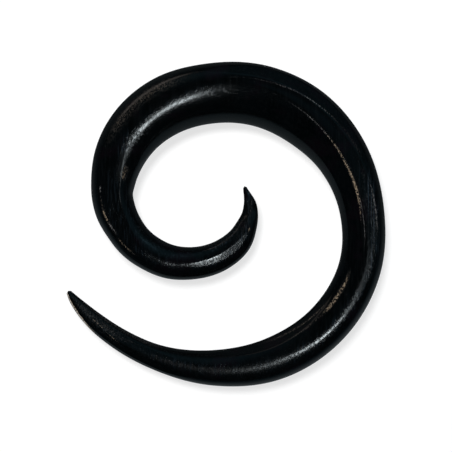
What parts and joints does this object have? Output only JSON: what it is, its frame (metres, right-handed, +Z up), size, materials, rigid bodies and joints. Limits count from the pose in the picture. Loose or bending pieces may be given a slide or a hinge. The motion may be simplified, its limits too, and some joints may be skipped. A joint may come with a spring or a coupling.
{
  "type": "spiral ear taper",
  "caption": "Ear taper carved from black wood as a flat open spiral, thickest half way along and pointed at both ends.",
  "frame": {"origin": "middle of the spiral's plan box, on the surface that it lies on", "axes": "+Z up from the surface, +Y across the spiral towards the middle of its thick band, +X towards the outer arm's bend, with the outer tip towards -X"},
  "size_m": [0.0514, 0.0524, 0.0091],
  "materials": {
    "black_wood": "near-black hardwood, hand filed and rubbed to a satin polish, with fine straight pores"
  },
  "bodies": {
    "root": {"spiral_taper": "black_wood"}
  },
  "joints": []
}
